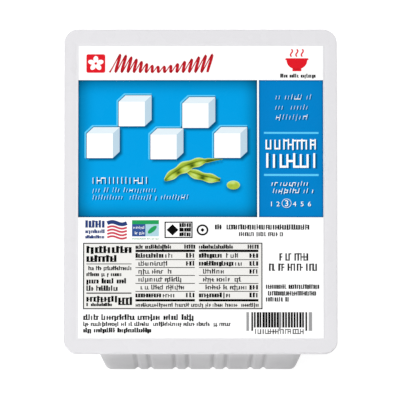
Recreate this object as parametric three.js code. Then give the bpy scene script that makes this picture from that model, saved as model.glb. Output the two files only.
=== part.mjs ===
// A sealed retail pack of tofu, lying on its base: a thermoformed tray with fluted walls and a wide
// flange, closed by a film that is heat-sealed over the flange. The full tray is one solid block.
// Millimetres, +Z up. The origin is in the middle of the base, on the surface that the pack lies on.
// +Y points to the head of the lid and runs along the pack, and +X runs across it.

import * as THREE from 'three';

// The whole pack
const PACK_WIDTH = 116; // over the flange
const PACK_LENGTH = 146.4; // over the flange
const PACK_HEIGHT = 46; // from the base to the top of the film

// The film, cut just inside the flange's edge
const FILM_THICKNESS = 0.3;
const FILM_INSET = 0.4;

// The flange
const FLANGE_THICKNESS = 1;
const FLANGE_CORNER_RADIUS = 6;
const FLANGE_TOP = PACK_HEIGHT - FILM_THICKNESS;
const FLANGE_UNDERSIDE = FLANGE_TOP - FLANGE_THICKNESS;

// The tub tapers from its mouth under the flange to its base, and its corners tighten on the way down
const MOUTH = { halfWidth: 49, halfLength: 67.7, cornerRadius: 11 };
const BASE = { halfWidth: 40.6, halfLength: 64.4, cornerRadius: 3 };
const MOUTH_FILLET = 1.5;
const BASE_FILLET = 1.6;
const FLAT_OF_BASE_INSET = 7; // from the tub's outline at the base to the flat that no flute reaches

// The flutes: upright grooves in pairs, pressed into all four walls and through the base's edge
const PAIRS_ON_LONG_WALL = 7;
const PAIRS_ON_SHORT_WALL = 4;
const PAIR_PITCH = 15.9; // at the base
const FLUTE_FROM_PAIR_MIDDLE = 2.7;
const FLUTE_HALF_WIDTH = 1.55;
const FLUTE_DEPTH = 0.95;
const FLUTE_SPREAD = 1.08; // how much wider the flutes stand at the mouth than at the base
const PLAIN_WALL_ABOVE_FLUTES = 4;
const FLUTE_FADE = 7; // the height over which a flute runs out below its top
const FLUTE_TOP = FLANGE_UNDERSIDE - PLAIN_WALL_ABOVE_FLUTES;

// How finely curves are divided
const CORNER_SEGMENTS = 8;
const FILLET_SEGMENTS = 3;
const FADE_SEGMENTS = 3;
const FLUTE_STATIONS = [-1, -0.5, 0, 0.5, 1]; // across a flute, in half widths

const PLASTIC = new THREE.MeshStandardMaterial({ color: 0xe6e6e8, roughness: 0.38, metalness: 0 });
const PRINTED_FILM = new THREE.MeshStandardMaterial({ color: 0xfafafa, roughness: 0.22, metalness: 0 });

// The four walls, anticlockwise from above, each with the number of flute pairs that it carries
const WALLS = [
  { normal: new THREE.Vector2(1, 0), pairs: PAIRS_ON_LONG_WALL },
  { normal: new THREE.Vector2(0, 1), pairs: PAIRS_ON_SHORT_WALL },
  { normal: new THREE.Vector2(-1, 0), pairs: PAIRS_ON_LONG_WALL },
  { normal: new THREE.Vector2(0, -1), pairs: PAIRS_ON_SHORT_WALL },
];

// The middles of a wall's flutes at the base, measured along the wall from its centre.
function fluteMiddles(pairs) {
  const middles = [];
  for (let pair = 0; pair < pairs; pair += 1) {
    const pairMiddle = (pair - (pairs - 1) / 2) * PAIR_PITCH;
    middles.push(pairMiddle - FLUTE_FROM_PAIR_MIDDLE, pairMiddle + FLUTE_FROM_PAIR_MIDDLE);
  }
  return middles;
}

// One closed ring around the tub at height z. Every ring has the same number of points in the same
// order, so that neighbouring rings can be joined point by point.
function ring(z, { halfWidth, halfLength, cornerRadius }, { fluteSpread, fluteDepth }) {
  const points = [];
  const place = (normal, outward, tangent, along) => points.push(
    new THREE.Vector3(
      normal.x * outward + tangent.x * along,
      normal.y * outward + tangent.y * along,
      z,
    ),
  );
  for (const { normal, pairs } of WALLS) {
    const tangent = new THREE.Vector2(-normal.y, normal.x);
    const reach = normal.x === 0 ? halfLength : halfWidth;
    const span = normal.x === 0 ? halfWidth : halfLength;
    for (const middle of fluteMiddles(pairs)) {
      for (const station of FLUTE_STATIONS) {
        const dent = fluteDepth * (1 + Math.cos(Math.PI * station)) / 2;
        place(normal, reach - dent, tangent, middle * fluteSpread + station * FLUTE_HALF_WIDTH);
      }
    }
    for (let step = 0; step <= CORNER_SEGMENTS; step += 1) {
      const turn = (Math.PI / 2) * (step / CORNER_SEGMENTS);
      place(
        normal,
        reach - cornerRadius * (1 - Math.cos(turn)),
        tangent,
        span - cornerRadius * (1 - Math.sin(turn)),
      );
    }
  }
  return points;
}

// How deep the flutes are at height z: full at the base, running out smoothly towards the mouth.
function fluteDepthAt(z) {
  const left = THREE.MathUtils.clamp((FLUTE_TOP - z) / FLUTE_FADE, 0, 1);
  return FLUTE_DEPTH * (1 - Math.cos(Math.PI * left)) / 2;
}

// The ring of the drafted wall at height z, pulled in towards the middle by some millimetres.
function wallRing(z, pulledIn = 0) {
  const share = z / FLANGE_UNDERSIDE;
  const outline = {
    halfWidth: THREE.MathUtils.lerp(BASE.halfWidth, MOUTH.halfWidth, share) - pulledIn,
    halfLength: THREE.MathUtils.lerp(BASE.halfLength, MOUTH.halfLength, share) - pulledIn,
    cornerRadius: THREE.MathUtils.lerp(BASE.cornerRadius, MOUTH.cornerRadius, share) - pulledIn,
  };
  return ring(z, outline, {
    fluteSpread: THREE.MathUtils.lerp(1, FLUTE_SPREAD, share),
    fluteDepth: fluteDepthAt(z),
  });
}

// The plain ring inside the flutes, where the base is flat right across.
function flatOfBaseRing() {
  const outline = {
    halfWidth: BASE.halfWidth - FLAT_OF_BASE_INSET,
    halfLength: BASE.halfLength - FLAT_OF_BASE_INSET,
    cornerRadius: BASE.cornerRadius,
  };
  return ring(0, outline, { fluteSpread: 1, fluteDepth: 0 });
}

// The flange's edge at height z.
function flangeRing(z) {
  const outline = {
    halfWidth: PACK_WIDTH / 2,
    halfLength: PACK_LENGTH / 2,
    cornerRadius: FLANGE_CORNER_RADIUS,
  };
  return ring(z, outline, { fluteSpread: FLUTE_SPREAD, fluteDepth: 0 });
}

// Joins rings, from the lowest to the highest, into one closed skin with flat ends.
function skinThrough(rings) {
  const size = rings[0].length;
  const lastStart = (rings.length - 1) * size;
  const bottomMiddle = new THREE.Vector3(0, 0, rings[0][0].z);
  const topMiddle = new THREE.Vector3(0, 0, rings.at(-1)[0].z);
  const points = [...rings.flat(), bottomMiddle, topMiddle];
  const triangles = [];
  for (let here = 0; here < size; here += 1) {
    const next = (here + 1) % size;
    triangles.push(points.length - 2, next, here);
    for (let start = 0; start < lastStart; start += size) {
      const above = start + size;
      triangles.push(start + here, start + next, above + next);
      triangles.push(start + here, above + next, above + here);
    }
    triangles.push(points.length - 1, lastStart + here, lastStart + next);
  }
  const skin = new THREE.BufferGeometry().setFromPoints(points);
  skin.setIndex(triangles);
  skin.computeVertexNormals();
  return skin;
}

// The tub and its flange, one piece of plastic, from the flat of the base out and up to the flange.
function makeTray() {
  const rings = [flatOfBaseRing()];
  // The base's round edge, which the flutes run through
  for (let step = 0; step <= FILLET_SEGMENTS; step += 1) {
    const turn = (Math.PI / 2) * (step / FILLET_SEGMENTS);
    rings.push(wallRing(BASE_FILLET * (1 - Math.cos(turn)), BASE_FILLET * (1 - Math.sin(turn))));
  }
  // The stretch of wall where the flutes run out
  for (let step = 0; step <= FADE_SEGMENTS; step += 1) {
    rings.push(wallRing(FLUTE_TOP - FLUTE_FADE * (1 - step / FADE_SEGMENTS)));
  }
  // The turn from the wall out under the flange
  for (let step = 0; step <= FILLET_SEGMENTS; step += 1) {
    const turn = (Math.PI / 2) * (step / FILLET_SEGMENTS);
    const below = MOUTH_FILLET * (1 - Math.sin(turn));
    rings.push(wallRing(FLANGE_UNDERSIDE - below, -MOUTH_FILLET * (1 - Math.cos(turn))));
  }
  rings.push(flangeRing(FLANGE_UNDERSIDE), flangeRing(FLANGE_TOP));
  const tray = new THREE.Mesh(skinThrough(rings), PLASTIC);
  tray.name = 'tray';
  return tray;
}

// A rectangle with round corners, centred on the origin.
function roundedRectangle(halfWidth, halfLength, cornerRadius) {
  const outline = new THREE.Shape();
  const x = halfWidth - cornerRadius;
  const y = halfLength - cornerRadius;
  outline.absarc(x, y, cornerRadius, 0, Math.PI / 2);
  outline.absarc(-x, y, cornerRadius, Math.PI / 2, Math.PI);
  outline.absarc(-x, -y, cornerRadius, Math.PI, 1.5 * Math.PI);
  outline.absarc(x, -y, cornerRadius, 1.5 * Math.PI, 2 * Math.PI);
  outline.closePath();
  return outline;
}

// The printed film, flat on the flange.
function makeLidFilm() {
  const outline = roundedRectangle(
    PACK_WIDTH / 2 - FILM_INSET,
    PACK_LENGTH / 2 - FILM_INSET,
    FLANGE_CORNER_RADIUS - FILM_INSET,
  );
  const sheet = new THREE.ExtrudeGeometry(outline, {
    depth: FILM_THICKNESS,
    bevelEnabled: false,
    curveSegments: CORNER_SEGMENTS,
  });
  const film = new THREE.Mesh(sheet, PRINTED_FILM);
  film.name = 'lid_film';
  film.position.z = FLANGE_TOP;
  return film;
}

const pack = new THREE.Group();
pack.add(makeTray(), makeLidFilm());

export default pack;
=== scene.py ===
# A sealed retail pack of tofu, lying on its base with the printed lid up.
# Lengths are in millimetres, in the frame's own axes. A finished piece is turned into metres.

import math

import bmesh
import bpy
from mathutils import Matrix, Vector


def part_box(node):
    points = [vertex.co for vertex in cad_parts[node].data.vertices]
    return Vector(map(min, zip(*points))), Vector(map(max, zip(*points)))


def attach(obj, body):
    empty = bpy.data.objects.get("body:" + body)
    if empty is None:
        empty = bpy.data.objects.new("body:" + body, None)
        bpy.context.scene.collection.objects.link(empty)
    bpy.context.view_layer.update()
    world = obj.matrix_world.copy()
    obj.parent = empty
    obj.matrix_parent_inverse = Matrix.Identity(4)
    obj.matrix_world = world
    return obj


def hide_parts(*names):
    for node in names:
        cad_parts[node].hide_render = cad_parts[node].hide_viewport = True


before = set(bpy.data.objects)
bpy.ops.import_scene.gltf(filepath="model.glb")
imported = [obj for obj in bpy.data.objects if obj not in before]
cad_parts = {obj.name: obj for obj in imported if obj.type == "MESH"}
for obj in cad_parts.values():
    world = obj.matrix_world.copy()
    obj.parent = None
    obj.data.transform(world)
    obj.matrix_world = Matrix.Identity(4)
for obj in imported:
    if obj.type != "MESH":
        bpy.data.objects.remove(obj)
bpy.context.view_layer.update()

# ------------------------------------------------------------------------------------------------
# The tray. One sheet of milky white plastic, drawn hot into a mould: a tub that tapers to its base,
# with upright flutes in pairs pressed into its walls, under a wide flat flange. It is one closed
# skin, because the shut lid hides its inside.

MM = 0.001  # in Blender's metres

_, tray_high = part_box("tray")
FLANGE_TOP = tray_high.z / MM
FLANGE_THICKNESS = 1
FLANGE_UNDERSIDE = FLANGE_TOP - FLANGE_THICKNESS
FLANGE = (tray_high.x / MM, tray_high.y / MM, 6)  # half width, half length, corner radius
FLANGE_EDGE_RADIUS = 0.08
LIP_WIDTH = 0.38  # of the plastic that stands level round the film, which is pressed into the flange
LIP_HEIGHT = 0.26

MOUTH = (49, 67.7, 11)  # the tub's outline under the flange, measured as the flange is
BASE = (40.6, 64.4, 3)  # and at the base
MOUTH_FILLET = 1.5
BASE_FILLET = 1.6
FLAT_OF_BASE_INSET = 7  # from the outline at the base to the flat that no flute reaches

PAIRS_ON_LONG_WALL = 7
PAIRS_ON_SHORT_WALL = 4
PAIR_PITCH = 15.9
FLUTE_FROM_PAIR_MIDDLE = 2.7
FLUTE_HALF_WIDTH = 1.55
FLUTE_DEPTH = 0.95
FLUTE_SPREAD = 1.08  # how much wider the flutes stand at the mouth than at the base
PLAIN_WALL_ABOVE_FLUTES = 4
FLUTE_TOP = FLANGE_UNDERSIDE - PLAIN_WALL_ABOVE_FLUTES
FLUTE_FADE = 7  # the height over which a flute runs out below its top

COLUMN_PITCH = 0.4  # between the skin's upright lines along a fluted wall
CORNER_STEPS = 14
FILLET_STEPS = 8
FADE_STEPS = 12
WALL_STEPS = 5
EDGE_STEPS = 3

WALLS = (  # the way each wall faces, anticlockwise from above, and how many flute pairs it has
    (1, 0, PAIRS_ON_LONG_WALL),
    (0, 1, PAIRS_ON_SHORT_WALL),
    (-1, 0, PAIRS_ON_LONG_WALL),
    (0, -1, PAIRS_ON_SHORT_WALL),
)


def between(low, high, share):
    return low + (high - low) * share


def pulled_in(outline, distance):
    """An outline moved inwards all round, its corners tightened to match."""
    return tuple(size - distance for size in outline)


def tray_ring(skin, z, outline, spread=FLUTE_SPREAD, fluted=0):
    """One ring of the tray's skin. Its points know where on their wall they are, for the flutes."""
    along_wall = skin.verts.layers.float["along_wall"]
    flute_spread = skin.verts.layers.float["flute_spread"]
    pair_count = skin.verts.layers.float["pair_count"]
    press_in = skin.verts.layers.float_vector["press_in"]
    half_width, half_length, corner_radius = outline
    ring = []
    for facing_x, facing_y, pairs in WALLS:
        reach, span = (half_width, half_length) if facing_x else (half_length, half_width)
        last_flute = (pairs - 1) / 2 * PAIR_PITCH + FLUTE_FROM_PAIR_MIDDLE + FLUTE_HALF_WIDTH
        columns = round(2 * last_flute / COLUMN_PITCH)
        places = [
            (reach, between(-last_flute, last_flute, n / columns) * spread) for n in range(columns + 1)
        ]
        for step in range(CORNER_STEPS + 1):
            turn = math.pi / 2 * step / CORNER_STEPS
            outward = reach - corner_radius * (1 - math.cos(turn))
            places.append((outward, span - corner_radius * (1 - math.sin(turn))))
        for outward, along in places:
            x = facing_x * outward - facing_y * along
            y = facing_y * outward + facing_x * along
            point = skin.verts.new((x, y, z))
            point[along_wall] = along
            point[flute_spread] = spread
            point[pair_count] = pairs
            point[press_in] = Vector((-facing_x, -facing_y, 0)) * fluted
            ring.append(point)
    return ring


def wall_ring(skin, z, inset=0):
    """A ring of the drafted wall at height z. The flutes run out smoothly towards the mouth."""
    share = z / FLANGE_UNDERSIDE
    outline = tuple(between(low, high, share) for low, high in zip(BASE, MOUTH))
    left_to_fade = min(max((FLUTE_TOP - z) / FLUTE_FADE, 0), 1)
    fluted = (1 - math.cos(math.pi * left_to_fade)) / 2
    return tray_ring(skin, z, pulled_in(outline, inset), between(1, FLUTE_SPREAD, share), fluted)


def quarter_turn(steps):
    """Pairs of sine and cosine through a right angle, for a rounded edge."""
    turns = [math.pi / 2 * step / steps for step in range(steps + 1)]
    return [(math.sin(turn), math.cos(turn)) for turn in turns]


def join_rings(skin, rings):
    """Closes rings of equal length into one skin with flat ends, facing outwards."""
    for lower, upper in zip(rings, rings[1:]):
        for here in range(len(lower)):
            following = (here + 1) % len(lower)
            skin.faces.new((lower[here], lower[following], upper[following], upper[here]))
    skin.faces.new(reversed(rings[0]))
    skin.faces.new(rings[-1])


def tray_skin():
    skin = bmesh.new()
    for name in ("along_wall", "flute_spread", "pair_count"):
        skin.verts.layers.float.new(name)
    skin.verts.layers.float_vector.new("press_in")
    base_width, base_length, base_radius = BASE
    flat_of_base = (base_width - FLAT_OF_BASE_INSET, base_length - FLAT_OF_BASE_INSET, base_radius)
    rings = [tray_ring(skin, 0, flat_of_base, spread=1)]
    for sine, cosine in quarter_turn(FILLET_STEPS):
        rings.append(wall_ring(skin, BASE_FILLET * (1 - cosine), BASE_FILLET * (1 - sine)))
    for step in range(1, WALL_STEPS + 1):
        rings.append(wall_ring(skin, between(BASE_FILLET, FLUTE_TOP - FLUTE_FADE, step / WALL_STEPS)))
    for step in range(1, FADE_STEPS + 1):
        rings.append(wall_ring(skin, FLUTE_TOP - FLUTE_FADE * (1 - step / FADE_STEPS)))
    for sine, cosine in quarter_turn(FILLET_STEPS):
        z = FLANGE_UNDERSIDE - MOUTH_FILLET * (1 - sine)
        rings.append(wall_ring(skin, z, -MOUTH_FILLET * (1 - cosine)))
    # The flange: out along its underside, round its edge, over the lip, and down to the film's seat
    lip_inside = pulled_in(FLANGE, LIP_WIDTH)
    lip_top = FLANGE_TOP + LIP_HEIGHT
    rings.append(tray_ring(skin, FLANGE_UNDERSIDE, lip_inside))
    for sine, cosine in quarter_turn(EDGE_STEPS):
        z = FLANGE_UNDERSIDE + FLANGE_EDGE_RADIUS * (1 - cosine)
        rings.append(tray_ring(skin, z, pulled_in(FLANGE, FLANGE_EDGE_RADIUS * (1 - sine))))
    for sine, cosine in quarter_turn(EDGE_STEPS):
        z = lip_top - FLANGE_EDGE_RADIUS * (1 - sine)
        rings.append(tray_ring(skin, z, pulled_in(FLANGE, FLANGE_EDGE_RADIUS * (1 - cosine))))
    rings.append(tray_ring(skin, lip_top, lip_inside))
    rings.append(tray_ring(skin, FLANGE_TOP, lip_inside))
    join_rings(skin, rings)
    mesh = bpy.data.meshes.new("tray_skin")
    skin.to_mesh(mesh)
    skin.free()
    return mesh


def new_tree(kind, name, inputs, outputs):
    """A node tree with named sockets. Returns it with its input sockets and its output sockets."""
    tree = bpy.data.node_groups.new(name, kind)
    for side, sockets in (("INPUT", inputs), ("OUTPUT", outputs)):
        for socket_name, socket_type in sockets.items():
            tree.interface.new_socket(socket_name, in_out=side, socket_type="NodeSocket" + socket_type)
    given = tree.nodes.new("NodeGroupInput").outputs
    result = tree.nodes.new("NodeGroupOutput").inputs
    return tree, given, result


def add_node(tree, kind, inputs=(), **settings):
    """Adds a node. Each input is given a value, or the socket that feeds it."""
    node = tree.nodes.new(kind)
    for name, value in settings.items():
        setattr(node, name, value)
    for name, value in dict(inputs).items():
        if isinstance(value, bpy.types.NodeSocket):
            tree.links.new(value, node.inputs[name])
        else:
            node.inputs[name].default_value = value
    return node


def maths(tree, operation, *values):
    """One step of arithmetic in a tree, as the socket that holds its answer."""
    return add_node(tree, "ShaderNodeMath", enumerate(values), operation=operation).outputs[0]


def named(tree, name, data_type="FLOAT"):
    """What a point of the mesh knows under this name, in a geometry tree."""
    return add_node(
        tree, "GeometryNodeInputNamedAttribute", {"Name": name}, data_type=data_type
    ).outputs["Attribute"]


def finish_tree(tree, geometry, material, result):
    """Ends a geometry tree in real mesh with its material."""
    real = add_node(tree, "GeometryNodeRealizeInstances", {"Geometry": geometry})
    painted = add_node(tree, "GeometryNodeSetMaterial", {"Geometry": real.outputs[0], "Material": material})
    tree.links.new(painted.outputs[0], result["Geometry"])


def press_flutes_tree():
    """Presses each point of the skin inwards by how near it stands to the middle of a flute."""
    sizes = ("Pair Pitch", "From Pair Middle", "Half Width", "Depth")
    tree, given, result = new_tree(
        "GeometryNodeTree",
        "Press Flutes",
        {"Geometry": "Geometry", **dict.fromkeys(sizes, "Float"), "Material": "Material"},
        {"Geometry": "Geometry"},
    )
    spread = named(tree, "flute_spread")
    last_pair = maths(tree, "SUBTRACT", named(tree, "pair_count"), 1)
    middle_pair = maths(tree, "MULTIPLY", last_pair, 0.5)
    along = maths(tree, "DIVIDE", named(tree, "along_wall"), spread)
    counted = maths(tree, "ADD", maths(tree, "DIVIDE", along, given["Pair Pitch"]), middle_pair)
    rounded = maths(tree, "ROUND", counted)
    nearest_pair = maths(tree, "MINIMUM", maths(tree, "MAXIMUM", rounded, 0), last_pair)
    pair_place = maths(
        tree, "MULTIPLY", maths(tree, "SUBTRACT", nearest_pair, middle_pair), given["Pair Pitch"]
    )
    from_pair = maths(tree, "ABSOLUTE", maths(tree, "SUBTRACT", along, pair_place))
    from_flute = maths(tree, "ABSOLUTE", maths(tree, "SUBTRACT", from_pair, given["From Pair Middle"]))
    across = maths(tree, "DIVIDE", maths(tree, "MULTIPLY", from_flute, spread), given["Half Width"])
    bell = maths(tree, "COSINE", maths(tree, "MULTIPLY", maths(tree, "MINIMUM", across, 1), math.pi))
    half_depth = maths(tree, "MULTIPLY", given["Depth"], 0.5)
    dent = maths(tree, "MULTIPLY", maths(tree, "ADD", bell, 1), half_depth)
    press = add_node(
        tree,
        "ShaderNodeVectorMath",
        {0: named(tree, "press_in", "FLOAT_VECTOR"), "Scale": dent},
        operation="SCALE",
    )
    pressed = add_node(
        tree,
        "GeometryNodeSetPosition",
        {"Geometry": given["Geometry"], "Offset": press.outputs[0]},
    )
    finish_tree(tree, pressed.outputs[0], given["Material"], result)
    return tree


def shaped(name, mesh, tree, sizes):
    """Runs a tree once on a mesh in millimetres, and returns the result as a plain piece in metres."""
    blank = bpy.data.objects.new("blank", mesh)
    bpy.context.scene.collection.objects.link(blank)
    modifier = blank.modifiers.new("shaping", "NODES")
    modifier.node_group = tree
    for socket in tree.interface.items_tree:
        if socket.in_out == "INPUT" and socket.name in sizes:
            modifier[socket.identifier] = sizes[socket.name]
    evaluated = blank.evaluated_get(bpy.context.evaluated_depsgraph_get())
    result = bpy.data.meshes.new_from_object(evaluated)
    result.name = name
    result.transform(Matrix.Scale(MM, 4))
    bpy.data.objects.remove(blank)
    bpy.data.meshes.remove(mesh)
    piece = bpy.data.objects.new(name, result)
    bpy.context.scene.collection.objects.link(piece)
    return piece


def smooth_but_for_edges(piece, sharpest=math.radians(40)):
    piece.data.shade_smooth()
    piece.data.set_sharp_from_angle(angle=sharpest)


STUDIO_LIGHT = 1.1  # how much light falls on the lid, where 1 would show a shader's colours unchanged


def screen_colour(red, green, blue):
    """What a shader takes, so that the lid shows this colour, in the 0 to 255 of a screen."""
    values = [value / 255 for value in (red, green, blue)]
    linear = [v / 12.92 if v <= 0.04045 else ((v + 0.055) / 1.055) ** 2.4 for v in values]
    return (*(value / STUDIO_LIGHT for value in linear), 1)


def place_in_mm(tree):
    """Where on the object a point is, in millimetres."""
    place = add_node(tree, "ShaderNodeTexCoord").outputs["Object"]
    return add_node(tree, "ShaderNodeVectorMath", {0: place, "Scale": 1 / MM}, operation="SCALE").outputs[0]


def handled_plastic_group():
    """What making and handling leave on plastic: faint clouding, uneven gloss and fine grain."""
    inputs = ("Cloud Size", "Clouding", "Least Roughness", "Most Roughness", "Grain Size")
    tree, given, result = new_tree(
        "ShaderNodeTree",
        "Handled Plastic",
        dict.fromkeys(inputs, "Float"),
        {"Tint": "Float", "Roughness": "Float", "Height": "Float"},
    )
    place = place_in_mm(tree)
    cloud_scale = maths(tree, "DIVIDE", 1, given["Cloud Size"])
    clouds = add_node(tree, "ShaderNodeTexNoise", {"Vector": place, "Scale": cloud_scale, "Detail": 3.0})
    rub = add_node(
        tree,
        "ShaderNodeTexNoise",
        {"Vector": place, "Scale": maths(tree, "MULTIPLY", cloud_scale, 2.7), "Detail": 5.0},
    )
    grain_scale = maths(tree, "DIVIDE", 1, given["Grain Size"])
    grain = add_node(tree, "ShaderNodeTexNoise", {"Vector": place, "Scale": grain_scale, "Detail": 2.0})
    darkening = maths(tree, "MULTIPLY", clouds.outputs["Fac"], given["Clouding"])
    tree.links.new(maths(tree, "SUBTRACT", 1, darkening), result["Tint"])
    roughness = add_node(
        tree,
        "ShaderNodeMapRange",
        {
            "Value": rub.outputs["Fac"],
            "From Min": 0.35,
            "From Max": 0.65,
            "To Min": given["Least Roughness"],
            "To Max": given["Most Roughness"],
        },
    )
    tree.links.new(roughness.outputs["Result"], result["Roughness"])
    tree.links.new(grain.outputs["Fac"], result["Height"])
    return tree


handled_plastic = handled_plastic_group()


def new_material(name):
    """An empty material, with its tree and its one shader."""
    material = bpy.data.materials.new(name)
    material.use_nodes = True
    shader = material.node_tree.nodes["Principled BSDF"]
    return material, material.node_tree, shader


def handle(tree, shader, colour, grain_depth, wear):
    """Tints a colour with the handling of the surface, and gives the shader its gloss and grain."""
    handled = add_node(tree, "ShaderNodeGroup", node_tree=handled_plastic)
    for name, value in wear.items():
        handled.inputs[name].default_value = value
    tinted = add_node(
        tree,
        "ShaderNodeVectorMath",
        {0: colour, "Scale": handled.outputs["Tint"]},
        operation="SCALE",
    )
    tree.links.new(tinted.outputs[0], shader.inputs["Base Color"])
    tree.links.new(handled.outputs["Roughness"], shader.inputs["Roughness"])
    grain = add_node(
        tree, "ShaderNodeBump", {"Height": handled.outputs["Height"], "Distance": grain_depth * MM}
    )
    tree.links.new(grain.outputs["Normal"], shader.inputs["Normal"])


TRAY_COLOUR = screen_colour(231, 230, 233)
LOW_WALL_PAINTED_SHADE = 0.62  # painted shade: how much darker the wall's colour is low down, towards the base
PAINTED_SHADE_HEIGHTS = (14, 42)  # darkest up to the first, and as light as the flange from the second
TRAY_WEAR = {
    "Cloud Size": 21,
    "Clouding": 0.03,
    "Least Roughness": 0.36,
    "Most Roughness": 0.48,
    "Grain Size": 0.9,
}
TRAY_GRAIN_DEPTH = 0.004


def tray_plastic():
    material, tree, shader = new_material("milky_tray_plastic")
    height = add_node(tree, "ShaderNodeSeparateXYZ", {0: place_in_mm(tree)}).outputs["Z"]
    darkest_to, unshaded_from = PAINTED_SHADE_HEIGHTS
    # Painted shade: the wall's colour darkens from the flange down towards the base
    painted_shade = add_node(
        tree,
        "ShaderNodeMapRange",
        {"Value": height, "From Min": darkest_to, "From Max": unshaded_from, "To Min": LOW_WALL_PAINTED_SHADE},
        interpolation_type="SMOOTHSTEP",
    )
    colour = add_node(
        tree,
        "ShaderNodeVectorMath",
        {0: TRAY_COLOUR[:3], "Scale": painted_shade.outputs["Result"]},
        operation="SCALE",
    )
    handle(tree, shader, colour.outputs[0], TRAY_GRAIN_DEPTH, TRAY_WEAR)
    return material


tray = shaped(
    "tray_shell",
    tray_skin(),
    press_flutes_tree(),
    {
        "Pair Pitch": PAIR_PITCH,
        "From Pair Middle": FLUTE_FROM_PAIR_MIDDLE,
        "Half Width": FLUTE_HALF_WIDTH,
        "Depth": FLUTE_DEPTH,
        "Material": tray_plastic(),
    },
)
smooth_but_for_edges(tray)
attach(tray, "root")
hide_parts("tray")

# ------------------------------------------------------------------------------------------------
# The lid film. A clear sheet, pressed hot onto the flange all round and cut just inside its edge.
# It swells a little over the water in the tub, and a fine groove marks where the seal ends.

film_low, film_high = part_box("lid_film")
FILM_TOP = film_high.z / MM
FILM_THICKNESS = FILM_TOP - film_low.z / MM
FILM_HALF_WIDTH = film_high.x / MM
FILM_HALF_LENGTH = film_high.y / MM
FILM_CORNER_RADIUS = FLANGE[2] - (FLANGE[0] - FILM_HALF_WIDTH)
FILM_SWELL = 0.3
FILM_RIPPLE = 0.05
RIPPLE_SIZE = 55
SEAL_HALF_WIDTH = 52.85
SEAL_HALF_LENGTH = 66.65
SEAL_MIDDLE = -0.35  # along the pack
SEAL_GROOVE_HALF_WIDTH = 0.45
SEAL_GROOVE_DEPTH = 0.045
SHEET_CELL = 2.5  # the largest piece of a sheet that stays flat


def rounded_outline(left, right, bottom, top, radius, steps=8):
    """The points of a rectangle with round corners, anticlockwise."""
    corners = (
        (right - radius, bottom + radius, -90),
        (right - radius, top - radius, 0),
        (left + radius, top - radius, 90),
        (left + radius, bottom + radius, 180),
    )
    outline = []
    for x, y, start in corners:
        for step in range(steps + 1):
            turn = math.radians(start + 90 * step / steps)
            outline.append((x + radius * math.cos(turn), y + radius * math.sin(turn)))
    return outline


def add_shape(art, outline):
    """Adds a flat shape, whose outline runs anticlockwise."""
    return art.faces.new([art.verts.new((x, y, 0)) for x, y in outline])


def width_of(face, axis):
    places = [point.co[axis] for point in face.verts]
    return max(places) - min(places)


def cut_across(art, axis, places, larger_than=0):
    """Cuts the flat faces that are wider than this, along lines across one axis."""
    across = Vector((axis == 0, axis == 1, 0))
    for place in places:
        faces = [face for face in art.faces if width_of(face, axis) > larger_than]
        edges = {edge for face in faces for edge in face.edges}
        points = {point for face in faces for point in face.verts}
        bmesh.ops.bisect_plane(
            art, geom=[*faces, *edges, *points], plane_co=across * place, plane_no=across, dist=1e-4
        )


def cut_into_cells(art):
    """Divides large flat shapes, so that they can bend with the film."""
    for axis in (0, 1):
        places = [point.co[axis] for face in art.faces for point in face.verts]
        if places:
            first = math.floor(min(places) / SHEET_CELL) + 1
            last = math.ceil(max(places) / SHEET_CELL)
            cut_across(art, axis, [SHEET_CELL * n for n in range(first, last)], larger_than=SHEET_CELL)


def film_surface_group():
    """The height of the film's top above the flange, at each place on the lid."""
    sizes = ("Mouth Half Width", "Mouth Half Length", "Swell", "Ripple", "Ripple Size")
    seal = ("Seal Half Width", "Seal Half Length", "Seal Middle", "Groove Half Width", "Groove Depth")
    tree, given, result = new_tree(
        "GeometryNodeTree", "Film Surface", dict.fromkeys((*sizes, *seal), "Float"), {"Height": "Float"}
    )
    place = add_node(tree, "GeometryNodeInputPosition").outputs[0]
    axes = add_node(tree, "ShaderNodeSeparateXYZ", {0: place}).outputs
    swollen = 1
    past_seal = []
    for axis, side, seal_middle in (("X", "Width", 0), ("Y", "Length", given["Seal Middle"])):
        share = maths(tree, "DIVIDE", axes[axis], given[f"Mouth Half {side}"])
        inside = maths(tree, "MAXIMUM", maths(tree, "SUBTRACT", 1, maths(tree, "POWER", share, 2)), 0)
        swollen = maths(tree, "MULTIPLY", swollen, maths(tree, "POWER", inside, 2))
        distance = maths(tree, "ABSOLUTE", maths(tree, "SUBTRACT", axes[axis], seal_middle))
        past_seal.append(maths(tree, "SUBTRACT", distance, given[f"Seal Half {side}"]))
    ripple_scale = maths(tree, "DIVIDE", 1, given["Ripple Size"])
    noise = add_node(
        tree, "ShaderNodeTexNoise", {"Vector": place, "Scale": ripple_scale, "Detail": 0.0}
    ).outputs["Fac"]
    ripple = maths(tree, "MULTIPLY", maths(tree, "SUBTRACT", noise, 0.5), given["Ripple"])
    rise = maths(tree, "ADD", given["Swell"], ripple)
    from_seal = maths(tree, "ABSOLUTE", maths(tree, "MAXIMUM", *past_seal))
    groove_share = maths(tree, "MINIMUM", maths(tree, "DIVIDE", from_seal, given["Groove Half Width"]), 1)
    bell = maths(tree, "ADD", maths(tree, "COSINE", maths(tree, "MULTIPLY", groove_share, math.pi)), 1)
    groove = maths(tree, "MULTIPLY", maths(tree, "MULTIPLY", bell, 0.5), given["Groove Depth"])
    height = maths(tree, "SUBTRACT", maths(tree, "MULTIPLY", rise, swollen), groove)
    tree.links.new(height, result["Height"])
    return tree


film_surface = film_surface_group()


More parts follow.
